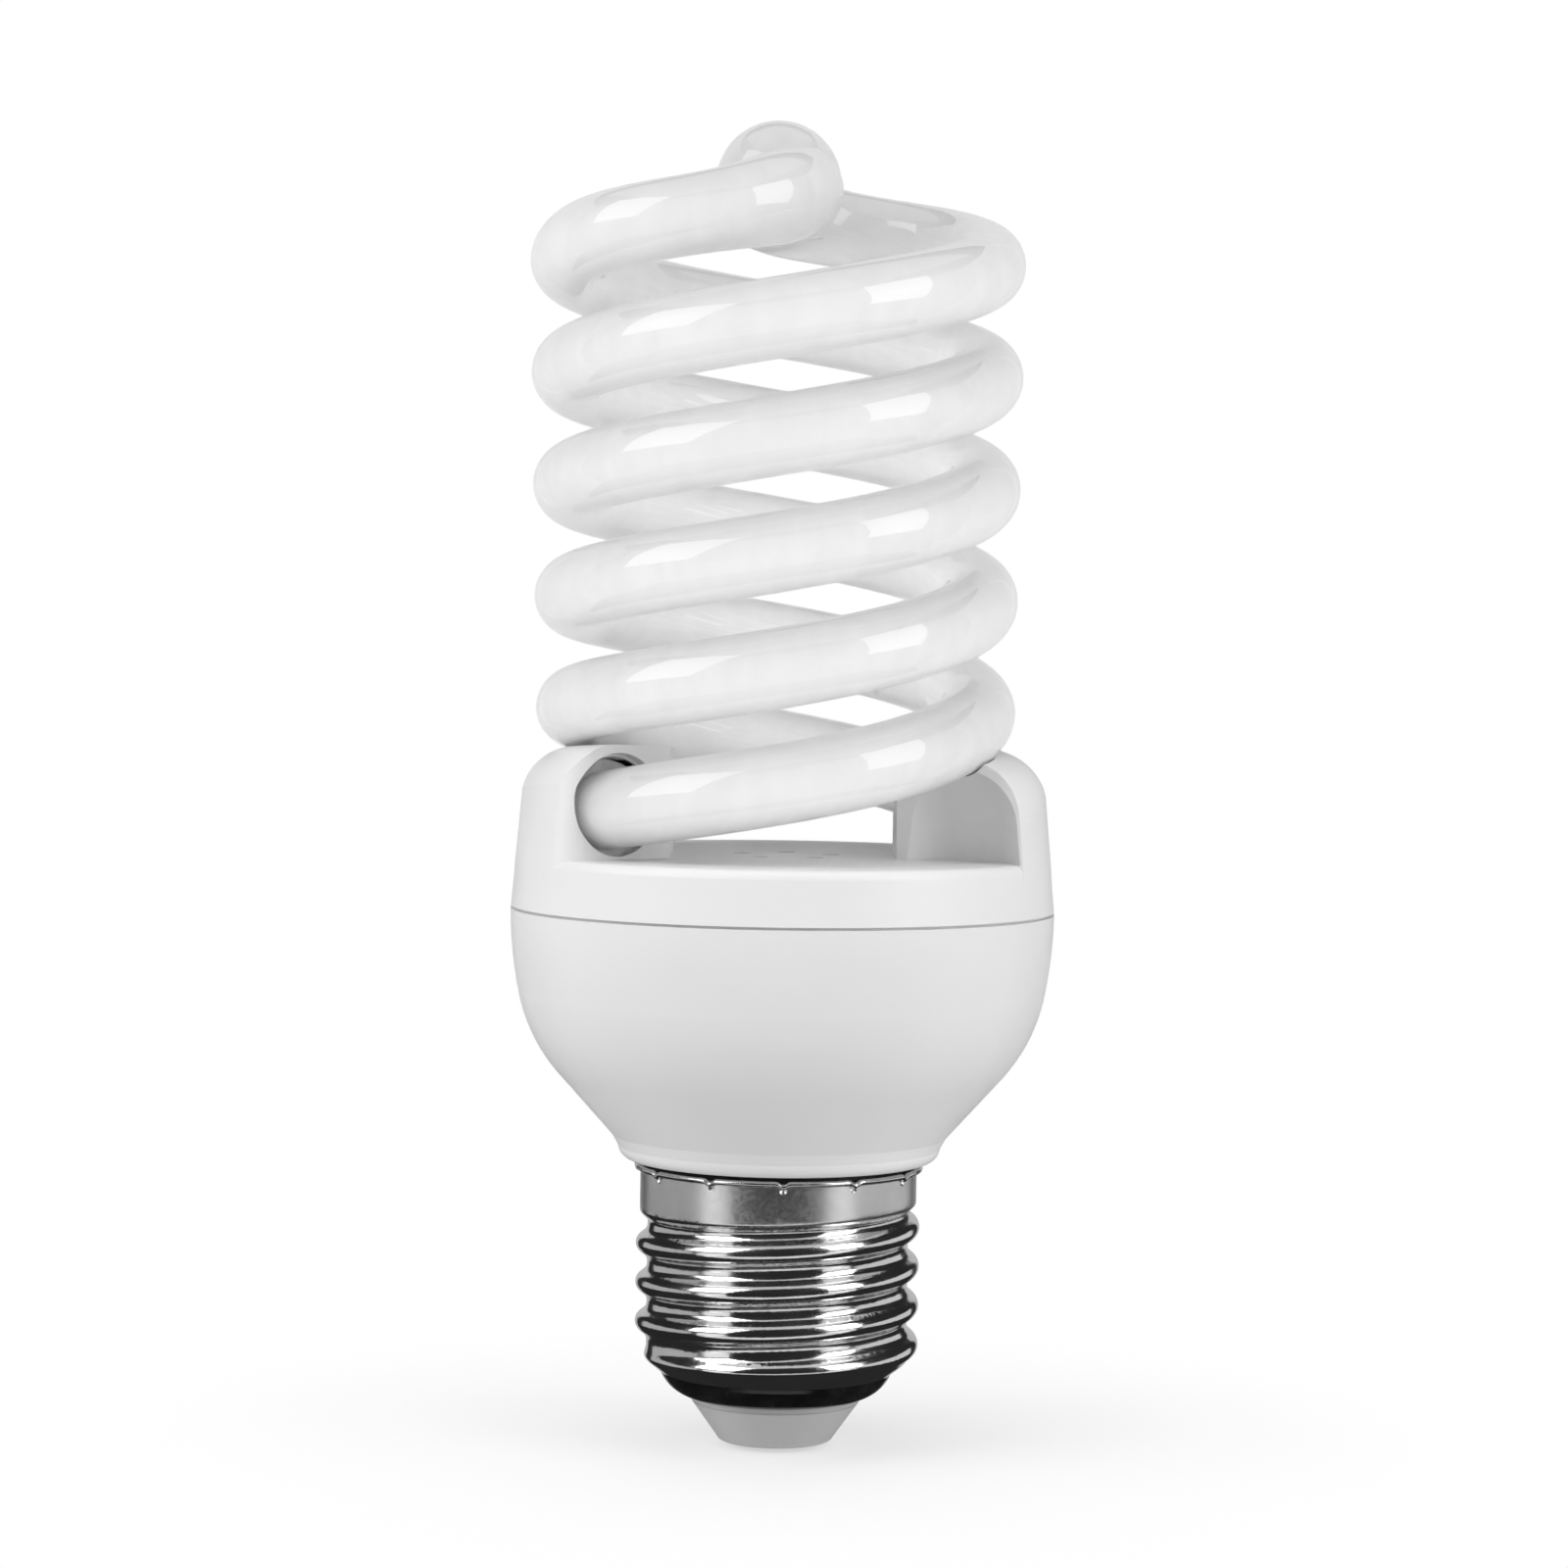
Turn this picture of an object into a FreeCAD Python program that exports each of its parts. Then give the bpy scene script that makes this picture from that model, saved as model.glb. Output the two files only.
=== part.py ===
# Compact fluorescent lamp with a double glass spiral and a 26 mm screw cap.
# Units are millimetres. +Z runs up the lamp axis; the origin is the middle of
# the contact face at the bottom of the cap. The lamp stands cap down, spiral up.
import FreeCAD, Part
import math
import os
import Sketcher
from FreeCAD import Vector as V, Rotation, Placement

doc = FreeCAD.newDocument("SpiralLamp")
sheet = doc.addObject("Spreadsheet::Sheet", "Sizes")
VALUE = {}


def cell(alias, number):
    """Put one driving size in the sheet."""
    row = len(VALUE) + 1
    VALUE[alias] = float(number)
    sheet.set("A%d" % row, alias)
    sheet.set("B%d" % row, "%.6g" % number)
    sheet.setAlias("B%d" % row, alias)
    return alias


def S(alias):
    return VALUE[alias]


# ---------------------------------------------------------------- sizes ----
# glass spiral
cell("tube_radius", 3.57)        # outside radius of the glass tube (7 mm tube)
cell("coil_radius", 18.72)        # centreline radius of the coil
cell("coil_taper", 0.0009)        # growth of the radius per mm of height
cell("coil_lead", 20.41)          # rise of one strand in one turn
cell("coil_front_z", 62.59)       # centreline height of the lowest crossing at the front
cell("tube_end_angle", -186.0)    # where the tube ends inside its tower
cell("curl_start_angle", -176.0)  # where the top coil leaves the cylinder
cell("curl_swell", 0.75)          # how much the tube widens where it meets the dome
cell("dome_radius", 5.75)
cell("dome_z", 115.7)            # centre of the dome
cell("dome_foot_z", 110.9)
cell("spiral_shift_x", -0.83)     # the glass sits a little off centre in its cover
cell("spiral_lean", -0.0088)      # sideways lean of the glass, mm per mm of height
cell("turn_tilt", 0.0592)         # the turns rise toward the back, mm per mm
cell("spiral_pivot_z", 60.3)
# cover
cell("cover_floor_z", 54.35)
cell("cover_floor_thick", 1.4)
cell("hole_side_angle", 38.0)     # face of a tower with the hole for the tube
cell("niche_side_angle", 29.5)    # face of a tower with the niche
cell("tower_chord", 10.25)
cell("tower_top_z", 64.0)
cell("tower_corner", 2.0)
cell("tower_slope", 0.055)       # the roof falls toward the niche
cell("tower_round", 5.0)
cell("tower_wall_r", 24.14)
cell("wall", 1.3)
cell("socket_radius", 4.5)
cell("socket_lift", 0.3)
cell("socket_rim_radius", 4.7)
cell("tube_clearance", 0.2)       # room left round the tube inside a tower
cell("niche_radius", 6.15)
cell("niche_z", 57.3)
cell("niche_ring", 18.6)
cell("niche_offset", 3.0)           # its axis stands this far in front of the face
cell("niche_draft", 0.1)
cell("vent_radius", 0.9)
cell("vent_ring", 4.3)
cell("vent_x", 0.3)
cell("vent_y", -0.5)
# screw shell
cell("thread_pitch", 3.629)
cell("thread_crest", 13.08)
cell("thread_root", 11.98)
cell("thread_start_z", 20.2)     # height of the first crest on the +X side
cell("shell_sheet", 0.3)
cell("shell_bottom_z", 6.7)
cell("shell_bottom_r", 10.78)
cell("shell_top_z", 25.6)
cell("band_radius", 12.74)
cell("band_edge_z", 21.6)
cell("band_edge_swing", 0.5)
cell("punch_count", 12)
cell("punch_z", 25.0)
# electronics
cell("board_radius", 22.9)
cell("board_thick", 1.6)
cell("board_z", 46.0)
cell("leg_radius", 0.3)
cell("leg_hole", 0.42)
cell("leg_out", 0.9)              # how far the legs stick out above the board
cell("solder_radius", 0.8)
cell("solder_height", 0.6)

doc.recompute()
for alias in list(VALUE):
    VALUE[alias] = float(sheet.get(alias))


def E(alias):
    return "Sizes." + alias


def bind(obj, prop, value, stem):
    """Bind a property to a cell: value is an alias, or a number given a cell of its own."""
    if isinstance(value, str):
        expr = value if ("Sizes." in value) else E(value)
    else:
        name = cell("%s_%s" % (stem, prop.replace("Placement.Base.", "at_").lower()), value)
        expr = E(name)
    obj.setExpression(prop, expr)


def at(obj, x, y, z):
    stem = obj.Name.lower()
    for prop, val in (("Placement.Base.x", x), ("Placement.Base.y", y), ("Placement.Base.z", z)):
        bind(obj, prop, val, stem)


def box(name, lx, ly, lz, x, y, z):
    """Box centred on x, y, standing up from z."""
    o = doc.addObject("Part::Box", name)
    stem = o.Name.lower()
    for prop, val in (("Length", lx), ("Width", ly), ("Height", lz)):
        bind(o, prop, val, stem)
    at(o, x - lx / 2.0, y - ly / 2.0, z)
    return o


def cyl(name, r, length, x, y, z, axis="z"):
    o = doc.addObject("Part::Cylinder", name)
    stem = o.Name.lower()
    bind(o, "Radius", r, stem)
    bind(o, "Height", length, stem)
    if axis == "x":
        o.Placement = Placement(V(0, 0, 0), Rotation(V(0, 1, 0), 90))
    elif axis == "y":
        o.Placement = Placement(V(0, 0, 0), Rotation(V(1, 0, 0), -90))
    at(o, x, y, z)
    return o


def fuse(label, parts):
    o = doc.addObject("Part::MultiFuse", label)
    o.Shapes = parts
    o.Label = label
    return o


def cut(label, base, tool):
    o = doc.addObject("Part::Cut", label)
    o.Base = base
    o.Tool = tool
    o.Label = label
    return o


def group(label, parts):
    """Several equal pieces kept as one node."""
    o = doc.addObject("Part::Compound", label)
    o.Links = parts
    o.Label = label
    return o


NODES = []


def node(obj, label=None):
    if label:
        obj.Label = label
    NODES.append(obj)
    return obj


def feature(label, shape):
    o = doc.addObject("Part::Feature", label)
    o.Label = label
    o.Shape = shape
    o.Placement = Placement(V(0, 0, 0), Rotation())
    return o


def revolved(label, prefix, path):
    """PartDesign body turned about Z from a closed half profile.
    path: (r, z) corners; an optional third item (radius, side) rounds the run
    to the next corner, side +1 bulging left of the direction of travel."""
    n = len(path)
    names = []
    for i, p in enumerate(path):
        rn = zn = None
        if p[0] > 1e-9:
            rn = cell("%s_r_%02d" % (prefix, i + 1), p[0])
        if abs(p[1]) > 1e-9:
            zn = cell("%s_z_%02d" % (prefix, i + 1), p[1])
        bn = cell("%s_round_%02d" % (prefix, i + 1), p[2][0]) if len(p) > 2 else None
        names.append((rn, zn, bn))
    doc.recompute()
    body = doc.addObject("PartDesign::Body", label)
    sk = body.newObject("Sketcher::SketchObject", label + "_profile")
    plane = [f for f in body.Origin.OriginFeatures if f.Role == "XZ_Plane"][0]
    sk.AttachmentSupport = (plane, [""])
    sk.MapMode = "FlatFace"
    ends = []
    for i, p in enumerate(path):
        q = path[(i + 1) % n]
        a, b = V(p[0], p[1], 0), V(q[0], q[1], 0)
        if len(p) > 2:
            rad, side = p[2]
            mid = (a + b) * 0.5
            d = b - a
            half = d.Length / 2.0
            left = V(-d.y, d.x, 0) * (1.0 / d.Length)
            sag = rad - math.sqrt(max(rad * rad - half * half, 0.0))
            g = sk.addGeometry(Part.Arc(a, mid + left * (side * sag), b), False)
        else:
            g = sk.addGeometry(Part.LineSegment(a, b), False)
        if (sk.getPoint(g, 1) - a).Length < (sk.getPoint(g, 2) - a).Length:
            ends.append((g, 1, 2))
        else:
            ends.append((g, 2, 1))
    for i in range(n):
        g, s, e = ends[i]
        g2, s2, e2 = ends[(i + 1) % n]
        sk.addConstraint(Sketcher.Constraint("Coincident", g, e, g2, s2))
    for i, (rn, zn, bn) in enumerate(names):
        g, s, e = ends[i]
        if rn:
            k = sk.addConstraint(Sketcher.Constraint("DistanceX", -1, 1, g, s, path[i][0]))
            sk.renameConstraint(k, rn)
            sk.setExpression("Constraints." + rn, E(rn))
        else:
            sk.addConstraint(Sketcher.Constraint("PointOnObject", g, s, -2))
        if zn:
            k = sk.addConstraint(Sketcher.Constraint("DistanceY", -1, 1, g, s, path[i][1]))
            sk.renameConstraint(k, zn)
            sk.setExpression("Constraints." + zn, E(zn))
        else:
            sk.addConstraint(Sketcher.Constraint("PointOnObject", g, s, -1))
        if bn:
            k = sk.addConstraint(Sketcher.Constraint("Radius", g, path[i][2][0]))
            sk.renameConstraint(k, bn)
            sk.setExpression("Constraints." + bn, E(bn))
    rev = body.newObject("PartDesign::Revolution", label + "_turned")
    rev.Profile = sk
    rev.ReferenceAxis = (sk, ["V_Axis"])
    rev.Angle = 360.0
    body.Tip = rev
    body.Label = label
    doc.recompute()
    return body


def greville(count):
    """Places along a clamped cubic spline of whole steps where its control rows sit."""
    last = count - 3
    knots = [0.0] * 4 + [float(k) for k in range(1, last)] + [float(last)] * 4
    return [(knots[j + 1] + knots[j + 2] + knots[j + 3]) / 3.0 for j in range(count)]


def skin(rows):
    """Smooth face over rows of control points, closed round each row."""
    nv = len(rows)
    nu = len(rows[0])
    poles = [[rows[j][i] for j in range(nv)] for i in range(nu)]
    surface = Part.BSplineSurface()
    surface.buildFromPolesMultsKnots(poles, [1] * (nu + 1), [4] + [1] * (nv - 4) + [4],
                                     [float(k) for k in range(nu + 1)],
                                     [float(k) for k in range(nv - 2)], True, False, 3, 3)
    return surface.toShape()


def rim(face, point):
    """Closed edge of a skin that lies nearest to a point."""
    edges = [e for e in face.Edges if e.isClosed()]
    edges.sort(key=lambda e: (e.CenterOfMass - point).Length)
    return edges[0]


def closed_solid(faces):
    shell = Part.Shell(Part.makeShell(faces).Faces)
    comp = Part.makeCompound(faces)
    comp.sewShape()
    shells = comp.Shells if comp.Shells else [shell]
    solid = Part.Solid(shells[0])
    if solid.Volume < 0:
        solid.reverse()
    return solid


AROUND = 16
ROUND_UP = 6.0 / (4.0 + 2.0 * math.cos(2.0 * math.pi / AROUND))


def pipe_solid(points, radii, outs):
    """Solid of round section set across a path of control points."""
    rows = []
    n = len(points)
    for i in range(n):
        t = points[min(i + 1, n - 1)] - points[max(i - 1, 0)]
        t.normalize()
        x = outs[i] - t * outs[i].dot(t)
        x.normalize()
        y = t.cross(x)
        r = radii[i] * ROUND_UP
        rows.append([points[i] + x * (r * math.cos(2 * math.pi * k / AROUND)) +
                     y * (r * math.sin(2 * math.pi * k / AROUND)) for k in range(AROUND)])
    side = skin(rows)
    caps = [Part.Face(Part.Wire([rim(side, p)])) for p in (points[0], points[-1])]
    return closed_solid([side] + caps)


# ------------------------------------------------------- glass spiral ----
def strand_z(angle_deg, k=0):
    """Centreline height of strand k at a given angle round the axis."""
    return S("coil_front_z") + S("coil_lead") * (angle_deg + 90.0) / 360.0 + k * S("coil_lead") / 2.0


def ring_point(angle_deg, r, z):
    a = math.radians(angle_deg)
    return V(r * math.cos(a), r * math.sin(a), z)


def coil_r(z):
    return S("coil_radius") * (1.0 + S("coil_taper") * (z - 85.3))


def settle(p):
    """Where a point of the upright spiral sits once the glass is in its cover."""
    return V(p.x + S("spiral_shift_x") + S("spiral_lean") * (p.z - S("spiral_pivot_z")), p.y,
             p.z - S("spiral_lean") * p.x + S("turn_tilt") * p.y)


def half_turn(p):
    return V(-p.x, -p.y, p.z)


def smooth(t):
    t = max(0.0, min(1.0, t))
    return t * t * (3.0 - 2.0 * t)


# The last part of a leg winds inward round the axis and climbs to the dome:
# degrees past the turn-in, share of the coil radius, rise.
CURL_BACK = [(0.0, 1.0, 0.0), (20.0, 0.972, 1.25), (40.0, 0.885, 2.20), (60.0, 0.735, 3.15),
             (80.0, 0.545, 4.35), (100.0, 0.320, 5.50), (120.0, 0.130, 6.15), (144.0, 0.070, 6.60)]
CURL_FRONT = [(0.0, 1.0, 0.25), (20.0, 0.972, 1.90), (40.0, 0.885, 3.05), (60.0, 0.735, 4.00),
              (80.0, 0.545, 5.10), (100.0, 0.320, 5.90), (120.0, 0.130, 6.35), (144.0, 0.070, 6.60)]


def leg_path(curl):
    """Control points of one leg, from its end in the tower to the dome."""
    first, turn_in = S("tube_end_angle"), S("curl_start_angle") + 900.0
    step = 12.0
    helix_rows = int(round((turn_in - first) / step))
    step = (turn_in - first) / helix_rows
    count = helix_rows + 13
    fix = 6.0 / (4.0 + 2.0 * math.cos(math.radians(step)))
    pts, rad, outs = [], [], []
    for t in greville(count):
        a = first + t * step
        if a <= turn_in:
            z = strand_z(a)
            r = coil_r(z) * fix
            grow = 0.0
        else:
            d = (a - turn_in)
            k = 0
            while k < len(curl) - 2 and d > curl[k + 1][0]:
                k += 1
            f = (d - curl[k][0]) / (curl[k + 1][0] - curl[k][0])
            r = coil_r(strand_z(turn_in)) * (curl[k][1] + f * (curl[k + 1][1] - curl[k][1])) * fix
            z = strand_z(turn_in) + curl[k][2] + f * (curl[k + 1][2] - curl[k][2])
            grow = smooth((d - 55.0) / 42.0)
        pts.append(ring_point(a, r, z))
        outs.append(ring_point(a, 1.0, 0.0))
        rad.append(S("tube_radius") + S("curl_swell") * grow)
    return pts, rad, outs


pts, rad, outs = leg_path(CURL_BACK)
leg_a = pipe_solid([settle(p) for p in pts], rad, outs)
pts, rad, outs = leg_path(CURL_FRONT)
leg_b = pipe_solid([settle(half_turn(p)) for p in pts], rad, [half_turn(p) for p in outs])
dome_at = settle(V(0, 0, S("dome_z")))
foot_at = settle(V(0, 0, S("dome_foot_z")))
dome = Part.makeSphere(S("dome_radius"), dome_at)
foot = Part.makeCone(4.2, S("dome_radius"), S("dome_z") - S("dome_foot_z"), V(dome_at.x, dome_at.y, foot_at.z))
glass = leg_a.fuse([leg_b, dome, foot]).removeSplitter()
node(feature("spiral_glass_tube", glass))

# ------------------------------------------------------------- cover ----
def turned(path):
    """Turned solid from a half profile; arcs as (r, z, (radius, side))."""
    edges = []
    n = len(path)
    for i, p in enumerate(path):
        q = path[(i + 1) % n]
        a, b = V(p[0], 0, p[1]), V(q[0], 0, q[1])
        if len(p) > 2:
            rad, sd = p[2]
            d = b - a
            half = d.Length / 2.0
            left = V(-d.z, 0, d.x) * (1.0 / d.Length)
            sag = rad - math.sqrt(max(rad * rad - half * half, 0.0))
            edges.append(Part.Arc(a, (a + b) * 0.5 + left * (sd * sag), b).toShape())
        else:
            edges.append(Part.LineSegment(a, b).toShape())
    face = Part.Face(Part.Wire(edges))
    return face.revolve(V(0, 0, 0), V(0, 0, 1), 360)


def sheared(shape, slope):
    """Raise every point by slope times its Y."""
    mat = FreeCAD.Matrix()
    mat.A32 = slope
    return shape.transformGeometry(mat)


def sector(inset, z0, z1):
    """Plan of the tower on the +X side, walls moved in by inset."""
    xc = S("tower_chord") + inset
    far = 34.0
    # a line along the radius at the side's angle, moved toward the middle by inset
    def on_ray(x, sign):
        half = math.radians(S("hole_side_angle") if sign > 0 else S("niche_side_angle"))
        y = x * math.tan(half) - inset / math.cos(half)
        return V(x, sign * y, z0)
    pts = [on_ray(xc, -1), on_ray(far, -1), on_ray(far, 1), on_ray(xc, 1)]
    return Part.Face(Part.makePolygon(pts + [pts[0]])).extrude(V(0, 0, z1 - z0))


def tower_outer(slope):
    wall = turned([(0, 49.9), (24.94, 49.9), (24.94 - 0.09 * 20.0, 69.9), (0, 69.9)])
    rr, top = S("tower_round"), S("tower_top_z")
    wr = S("tower_wall_r")
    cap = sheared(turned([(0, 40.0), (wr + 3.75, 40.0), (wr, top - rr, (rr, -1)), (wr - rr, top), (0, top)]), slope)
    blk = wall.common(sector(0.0, S("cover_floor_z") - S("cover_floor_thick"), 69.0)).common(cap)
    corner = []
    for e in blk.Edges:
        m = e.CenterOfMass
        if math.hypot(m.x, m.y) > 23.0 and abs(math.degrees(math.atan2(m.y, m.x)) - S("hole_side_angle")) < 0.7:
            if abs(e.BoundBox.ZLength) > 5.0:
                corner.append(e)
    if corner:
        try:
            rounded = blk.makeFillet(S("tower_corner"), corner)
            if rounded.isValid() and rounded.Volume > 0:
                blk = rounded
            else:
                print("corner rounding left out")
        except Exception:
            print("corner rounding left out")
    return blk


def tower_inner(slope):
    w = S("wall")
    wall = turned([(0, 49.9), (24.94 - w, 49.9), (24.94 - w - 0.09 * 20.0, 69.9), (0, 69.9)])
    rr, top = S("tower_round") - w, S("tower_top_z") - w
    wr = S("tower_wall_r") - w
    cap = sheared(turned([(0, 40.0), (wr + 3.75, 40.0), (wr, top - rr, (rr, -1)), (wr - rr, top), (0, top)]), slope)
    room = wall.common(sector(w, S("cover_floor_z") - S("cover_floor_thick") - 0.1, 69.0)).common(cap)
    keep = niche(S("niche_radius") + w, 45.0)
    return room.cut(keep)


def niche(radius, z0):
    a = math.radians(-S("niche_side_angle"))
    c = ring_point(-S("niche_side_angle"), S("niche_ring"), z0)
    c = c + V(math.sin(a), -math.cos(a), 0) * S("niche_offset")
    rise = S("niche_z") - z0
    post = Part.makeCone(radius + rise * S("niche_draft"), radius, rise, c)
    ball = Part.makeSphere(radius, V(c.x, c.y, S("niche_z")), V(0, 0, 1), 0, 90, 360)
    return post.fuse(ball)


def place_on(strand_angle, k=0):
    """Point and direction of the centreline of a leg; k=1 is the leg half a turn round."""
    ab = []
    for a in (strand_angle, strand_angle + 1.0):
        p = ring_point(a, coil_r(strand_z(a)), strand_z(a))
        ab.append(settle(half_turn(p) if k else p))
    d = ab[1] - ab[0]
    d.normalize()
    return ab[0], d


def run_of_tube(which, a_from, a_to, radius, count):
    """Solid of round section along part of a leg inside its tower."""
    pts_, rad_, outs_ = [], [], []
    for t in greville(count):
        a = a_from + t * (a_to - a_from) / (count - 3)
        z = strand_z(a)
        pts_.append(ring_point(a, coil_r(z), z))
        outs_.append(ring_point(a, 1.0, 0.0))
        rad_.append(radius)
    if which:
        pts_, outs_ = [half_turn(q) for q in pts_], [half_turn(q) for q in outs_]
    return pipe_solid([settle(q) for q in pts_], rad_, outs_)


floor_z = S("cover_floor_z")
cup = turned([(24.95, 49.5), (24.6, floor_z - 0.95, (0.95, -1)), (23.65, floor_z), (0, floor_z),
              (0, floor_z - S("cover_floor_thick")), (22.4, floor_z - S("cover_floor_thick")), (22.4, 47.6),
              (23.35, 47.6), (23.35, 49.5)])
cover = cup
for turn, which, lift in ((0.0, 1, -S("socket_lift")), (180.0, 0, S("socket_lift"))):
    blk = tower_outer(S("tower_slope"))
    room = tower_inner(S("tower_slope"))
    hollow = niche(S("niche_radius"), floor_z)
    # the leg whose end sits in this tower comes in on the high side
    p, d = place_on(-180.0 + S("hole_side_angle"), which)
    mid = ring_point(S("hole_side_angle") + turn, S("coil_radius"), p.z + lift)
    bore = Part.makeCylinder(S("socket_radius"), 7.0, mid - d * 2.2, d)
    rim_cut = Part.makeCylinder(S("socket_rim_radius"), 6.0, mid - d * 0.45, d)
    for tool in (room, hollow, blk):
        if turn:
            tool.rotate(V(0, 0, 0), V(0, 0, 1), turn)
    cover = cover.fuse(blk)
    cover = cover.cut(hollow)
    cover = cover.cut(room)
    cover = cover.cut(bore)
    cover = cover.cut(rim_cut)
    # room for the end of its own tube, and a shallow trough under the tube that passes over it
    cover = cover.cut(run_of_tube(which, -188.0, -180.0 + S("hole_side_angle") - 3.0,
                                  S("tube_radius") + S("tube_clearance"), 12))
    cover = cover.cut(run_of_tube(1 - which, -50.0, 25.0, S("tube_radius") + S("tube_clearance"), 14))
for i in range(5):
    c = ring_point(90.0 + 72.0 * i, S("vent_ring"), 50.0) + V(S("vent_x"), S("vent_y"), 0)
    cover = cover.cut(Part.makeCylinder(S("vent_radius"), 6.0, c))
cover = cover.removeSplitter()
node(feature("tube_cover", cover))

# ----------------------------------------------------------- housing ----
housing = revolved("ballast_housing", "bowl", [
    (23.4, 49.5), (24.45, 49.5), (24.45, 49.25), (24.97, 49.25, (38.7, 1)), (24.12, 41.3, (15.9, 1)),
    (20.6, 34.3), (15.4, 28.5), (14.85, 27.5, (1.3, 1)), (13.3, 26.3), (12.35, 26.3), (12.35, 23.0),
    (11.15, 23.0), (11.15, 27.8), (12.6, 27.8), (14.27, 29.48), (19.47, 35.48, (14.4, -1)), (22.62, 41.7),
    (22.95, 44.4), (21.9, 45.2), (21.9, 46.0), (23.4, 46.0)])
node(housing)


# ------------------------------------------------------- screw shell ----
def smax(a, b, k):
    f = max(k - abs(a - b), 0.0) / k
    return max(a, b) + f * f * k * 0.25


def smin(a, b, k):
    f = max(k - abs(a - b), 0.0) / k
    return min(a, b) - f * f * k * 0.25


def shell_r(a, z):
    """Outside radius of the pressed thread at angle a (-180..180) and height z."""
    p = S("thread_pitch")
    top, root = S("thread_crest"), S("thread_root")
    depth = top - root
    rad = (depth * depth + p * p / 4.0) / (4.0 * depth)
    ph = (z - S("thread_start_z") - p * a / 360.0) / p
    k = math.floor(ph + 0.5)
    u = abs(ph - k) * p
    if u <= p / 4.0:
        r = top - rad + math.sqrt(rad * rad - u * u)
    else:
        v = p / 2.0 - u
        r = root + rad - math.sqrt(rad * rad - v * v)
    if k > 0:
        amp = 0.0
    elif k == 0 and a > 0:
        amp = 1.0 - smooth(a / 100.0)
    else:
        amp = 1.0
    turn = k + a / 360.0             # the last half turn runs out
    amp = amp * smooth((turn + 3.65) / 0.55)
    r = root + (r - root) * amp
    edge = S("band_edge_z") - 0.6 + S("band_edge_swing") * math.cos(math.radians(a))
    band = root + (S("band_radius") - root) * smooth((z - edge) / 0.95)
    r = smax(r, band, 0.08)
    z0 = S("shell_bottom_z")
    fill = root + 0.2 * smooth((z0 + 2.2 - z) / 0.8)
    r = smax(r, fill, 0.1)
    taper = S("shell_bottom_r") + (z - z0) * 1.25
    return smin(r, taper, 0.35)


def shell_rows(rows_up, around):
    z0, z1 = S("shell_bottom_z"), S("shell_top_z")
    step = (z1 - z0) / (rows_up - 3)
    grow = 6.0 / (4.0 + 2.0 * math.cos(2.0 * math.pi / around))
    outer, inner = [], []
    thick = S("shell_sheet")
    for t in greville(rows_up):
        z = z0 + t * step
        ro, ri = [], []
        for i in range(around):
            a = -180.0 + 360.0 * i / around
            r = shell_r(a, z)
            e = 0.04
            slope = (shell_r(a, z + e) - shell_r(a, z - e)) / (2 * e)
            ln = math.sqrt(1.0 + slope * slope)
            w = smooth((z - z0) / 0.7) * smooth((z1 - z) / 0.7)
            ri_r = r - thick * (w / ln + (1.0 - w) * min(ln, 1.4))
            ri_z = z + w * thick * slope / ln
            ro.append(ring_point(a, r * grow, z))
            ri.append(ring_point(a, ri_r * grow, ri_z))
        outer.append(ro)
        inner.append(ri)
    return outer, inner


outer_rows, inner_rows = shell_rows(126, 48)
skin_out, skin_in = skin(outer_rows), skin(inner_rows)
ends = []
for z in (S("shell_bottom_z"), S("shell_top_z")):
    eo, ei = rim(skin_out, V(0, 0, z)), rim(skin_in, V(0, 0, z))
    ends.append(Part.makeRuledSurface(eo, ei))
shell = closed_solid([skin_out, skin_in] + ends)
for i in range(int(S("punch_count"))):
    a = 2.0 + 360.0 * i / S("punch_count") - 90.0
    tip = ring_point(a, S("band_radius") - 0.22, S("punch_z"))
    out = ring_point(a, 1.0, 0.0)
    shell = shell.cut(Part.makeCone(0.0, 0.95, 0.6, tip, out))
node(feature("screw_shell", shell))

# ------------------------------------------- bottom of the cap, turned ----
node(revolved("insulator_ring", "ring", [
    (6.0, 4.4), (8.05, 4.4, (3.6, -1)), (10.55, 6.3), (10.65, 6.65), (10.25, 6.65), (10.25, 8.2), (6.0, 8.2)]))
node(revolved("insulator_nose", "nose", [
    (1.6, 0.3), (5.05, 0.3, (0.45, -1)), (5.42, 0.62), (7.72, 3.84), (7.6, 3.92), (7.6, 4.04), (7.9, 4.12), (7.9, 4.4),
    (5.95, 4.4), (5.95, 7.6), (1.6, 7.6)]))
node(revolved("centre_contact", "contact", [
    (0, 0), (2.2, 0, (6.0, -1)), (3.9, 0.3), (1.55, 0.3), (1.55, 3.2), (0, 3.2)]))

# ------------------------------------------------------- electronics ----
LEGS = []
BT = S("board_z") + S("board_thick")
LEG_TOP = BT + S("leg_out")


def leg(stem, x, y, z0):
    """Wire leg from the piece up through the board."""
    LEGS.append((x, y))
    o = doc.addObject("Part::Cylinder", "%s_leg_%d" % (stem, len(LEGS)))
    o.setExpression("Radius", E("leg_radius"))
    base = cell("leg_%02d_foot" % len(LEGS), z0)
    o.setExpression("Height", "Sizes.board_z + Sizes.board_thick + Sizes.leg_out - Sizes.%s" % base)
    bind(o, "Placement.Base.x", cell("leg_%02d_at_x" % len(LEGS), x), stem)
    bind(o, "Placement.Base.y", cell("leg_%02d_at_y" % len(LEGS), y), stem)
    bind(o, "Placement.Base.z", base, stem)
    return o


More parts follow.
